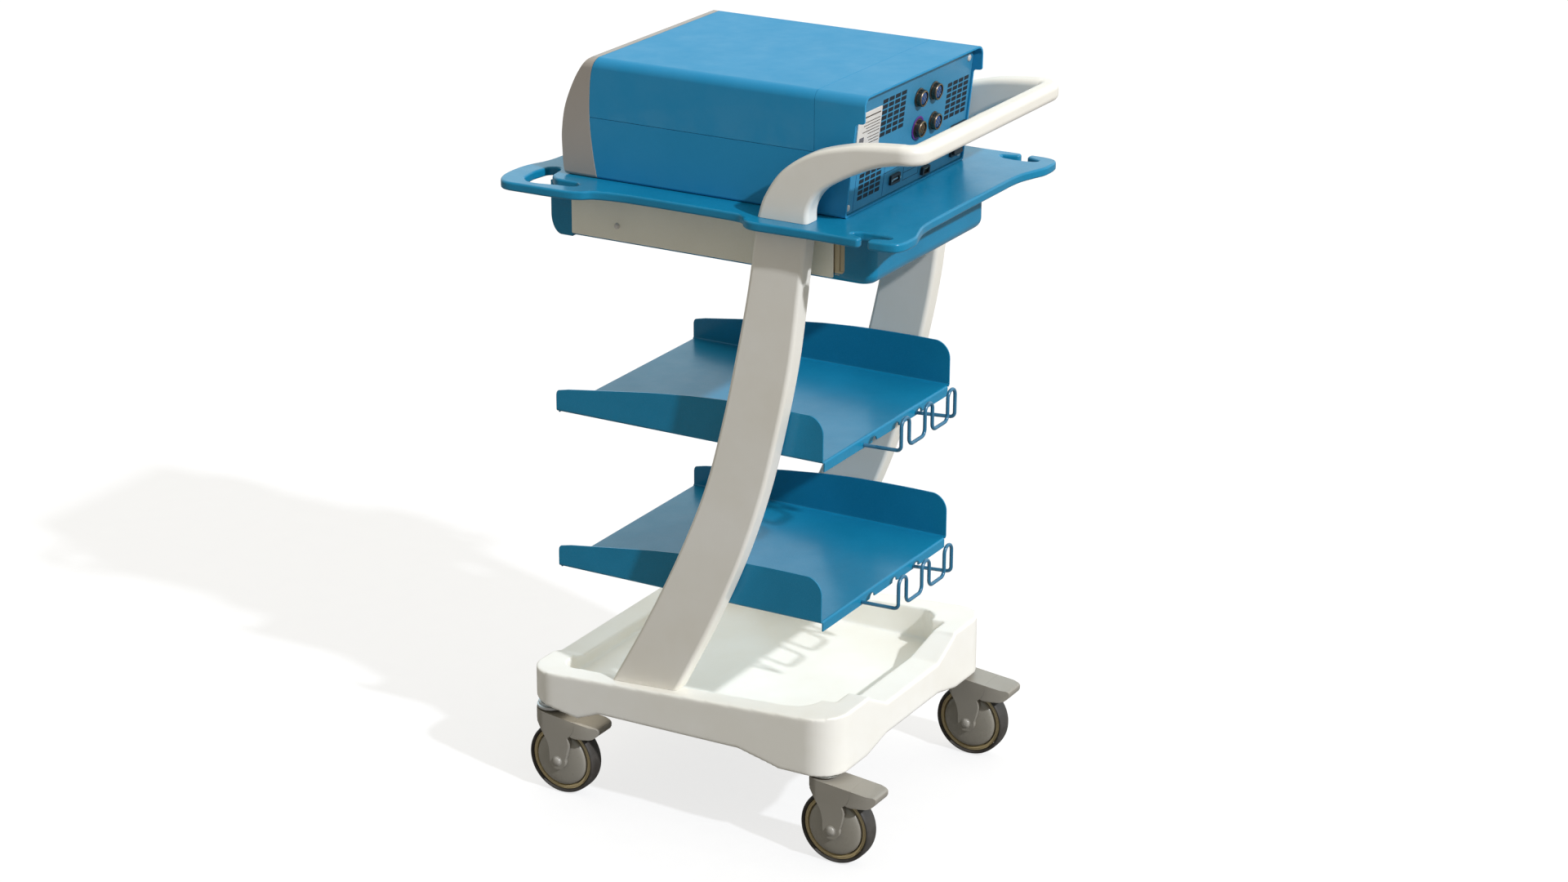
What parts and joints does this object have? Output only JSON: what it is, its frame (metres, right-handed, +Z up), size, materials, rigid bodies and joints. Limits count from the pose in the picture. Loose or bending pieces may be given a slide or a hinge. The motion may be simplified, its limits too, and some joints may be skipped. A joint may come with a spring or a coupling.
{
  "type": "crash cart",
  "caption": "Mobile medical equipment cart: castered moulded base, curved side posts, open shelves with hook racks, drawer under the top tray, console on top, push handle.",
  "frame": {"origin": "on the floor under the middle of the cart's whole outline, 35 mm behind the middle of the moulded base, because the push handle overhangs the rear", "axes": "+Y to the rear, where the push handle is; -Y to the front, where the drawer opens; +Z up; +X completes the right-handed set and is on the left hand of a person pushing the cart"},
  "size_m": [0.465, 0.608, 1.0215],
  "materials": {
    "ivory_plastic": "moulded, satin, slightly warm off-white",
    "blue_coat": "fine orange-peel powder coat, satin",
    "console_blue": "smooth satin paint",
    "beige_paint": "smooth satin paint",
    "taupe_plastic": "moulded, satin",
    "caster_grey": "glass-filled nylon, satin",
    "tyre_rubber": "matt, non-marking tread",
    "zinc_steel": "zinc plated",
    "black_plastic": "moulded, satin",
    "socket_metal": "dark plated metal",
    "display_glass": "dark glossy window"
  },
  "bodies": {
    "cart": {"base_tray": "ivory_plastic", "post_right": "ivory_plastic", "post_left": "ivory_plastic", "push_handle": "ivory_plastic", "top_tray": "blue_coat", "upper_shelf": "blue_coat", "lower_shelf": "blue_coat", "upper_hook_rack": "blue_coat", "lower_hook_rack": "blue_coat", "drawer_housing": "blue_coat", "console_chassis": "console_blue", "console_cover": "console_blue", "console_rear_panel": "console_blue", "side_cover_right": "beige_paint", "side_cover_left": "beige_paint", "console_bezel": "taupe_plastic", "caster_mount_front_right": "zinc_steel", "caster_mount_front_left": "zinc_steel", "caster_mount_rear_right": "zinc_steel", "caster_mount_rear_left": "zinc_steel", "slide_outer_right": "zinc_steel", "slide_outer_left": "zinc_steel", "thumb_screw_right": "zinc_steel", "thumb_screw_left": "zinc_steel", "power_inlet": "black_plastic", "data_port": "black_plastic", "network_port": "black_plastic", "switch_frame": "black_plastic", "signal_socket_1": "socket_metal", "signal_socket_2": "socket_metal", "signal_socket_3": "socket_metal", "signal_socket_4": "socket_metal", "display_glass": "display_glass"},
    "drawer": {"drawer_front": "blue_coat", "drawer_box": "beige_paint", "slide_inner_right": "zinc_steel", "slide_inner_left": "zinc_steel"},
    "knob": {"control_knob": "caster_grey"},
    "button": {"start_button": "taupe_plastic"},
    "rocker": {"power_switch": "black_plastic"},
    "fork_front_right": {"caster_fork_front_right": "caster_grey", "axle_front_right": "zinc_steel"},
    "wheel_front_right": {"wheel_hub_front_right": "caster_grey", "tyre_front_right": "tyre_rubber"},
    "pedal_front_right": {"brake_pedal_front_right": "caster_grey"},
    "fork_front_left": {"caster_fork_front_left": "caster_grey", "axle_front_left": "zinc_steel"},
    "wheel_front_left": {"wheel_hub_front_left": "caster_grey", "tyre_front_left": "tyre_rubber"},
    "pedal_front_left": {"brake_pedal_front_left": "caster_grey"},
    "fork_rear_right": {"caster_fork_rear_right": "caster_grey", "axle_rear_right": "zinc_steel"},
    "wheel_rear_right": {"wheel_hub_rear_right": "caster_grey", "tyre_rear_right": "tyre_rubber"},
    "pedal_rear_right": {"brake_pedal_rear_right": "caster_grey"},
    "fork_rear_left": {"caster_fork_rear_left": "caster_grey", "axle_rear_left": "zinc_steel"},
    "wheel_rear_left": {"wheel_hub_rear_left": "caster_grey", "tyre_rear_left": "tyre_rubber"},
    "pedal_rear_left": {"brake_pedal_rear_left": "caster_grey"}
  },
  "joints": [
    {"name": "drawer_slide", "type": "slide", "parent": "cart", "child": "drawer", "axis": [0, -1, 0], "range_m": [0, 0.3]},
    {"name": "swivel_front_right", "type": "hinge", "parent": "cart", "child": "fork_front_right", "pos_m": [0.1953, -0.247, 0.112], "axis": [0, 0, 1], "continuous": true},
    {"name": "spin_front_right", "type": "hinge", "parent": "fork_front_right", "child": "wheel_front_right", "pos_m": [0.1953, -0.226, 0.051], "axis": [1, 0, 0], "continuous": true},
    {"name": "brake_front_right", "type": "hinge", "parent": "fork_front_right", "child": "pedal_front_right", "pos_m": [0.1953, -0.223, 0.1085], "axis": [-1, 0, 0], "range_deg": [0, 10]},
    {"name": "swivel_front_left", "type": "hinge", "parent": "cart", "child": "fork_front_left", "pos_m": [-0.1953, -0.247, 0.112], "axis": [0, 0, 1], "continuous": true},
    {"name": "spin_front_left", "type": "hinge", "parent": "fork_front_left", "child": "wheel_front_left", "pos_m": [-0.1953, -0.226, 0.051], "axis": [1, 0, 0], "continuous": true},
    {"name": "brake_front_left", "type": "hinge", "parent": "fork_front_left", "child": "pedal_front_left", "pos_m": [-0.1953, -0.223, 0.1085], "axis": [-1, 0, 0], "range_deg": [0, 10]},
    {"name": "swivel_rear_right", "type": "hinge", "parent": "cart", "child": "fork_rear_right", "pos_m": [0.1953, 0.177, 0.112], "axis": [0, 0, 1], "continuous": true},
    {"name": "spin_rear_right", "type": "hinge", "parent": "fork_rear_right", "child": "wheel_rear_right", "pos_m": [0.1953, 0.198, 0.051], "axis": [1, 0, 0], "continuous": true},
    {"name": "brake_rear_right", "type": "hinge", "parent": "fork_rear_right", "child": "pedal_rear_right", "pos_m": [0.1953, 0.201, 0.1085], "axis": [-1, 0, 0], "range_deg": [0, 10]},
    {"name": "swivel_rear_left", "type": "hinge", "parent": "cart", "child": "fork_rear_left", "pos_m": [-0.1953, 0.177, 0.112], "axis": [0, 0, 1], "continuous": true},
    {"name": "spin_rear_left", "type": "hinge", "parent": "fork_rear_left", "child": "wheel_rear_left", "pos_m": [-0.1953, 0.198, 0.051], "axis": [1, 0, 0], "continuous": true},
    {"name": "brake_rear_left", "type": "hinge", "parent": "fork_rear_left", "child": "pedal_rear_left", "pos_m": [-0.1953, 0.201, 0.1085], "axis": [-1, 0, 0], "range_deg": [0, 10]},
    {"name": "knob_turn", "type": "hinge", "parent": "cart", "child": "knob", "pos_m": [0.105, -0.2364, 0.94], "axis": [0, -0.9903, 0.1392], "continuous": true},
    {"name": "button_press", "type": "slide", "parent": "cart", "child": "button", "axis": [0, 1, 0], "range_m": [0, 0.002]},
    {"name": "rocker_tilt", "type": "hinge", "parent": "cart", "child": "rocker", "pos_m": [-0.137, 0.18124, 0.88472], "axis": [1, 0, 0], "range_deg": [-12, 0]}
  ]
}
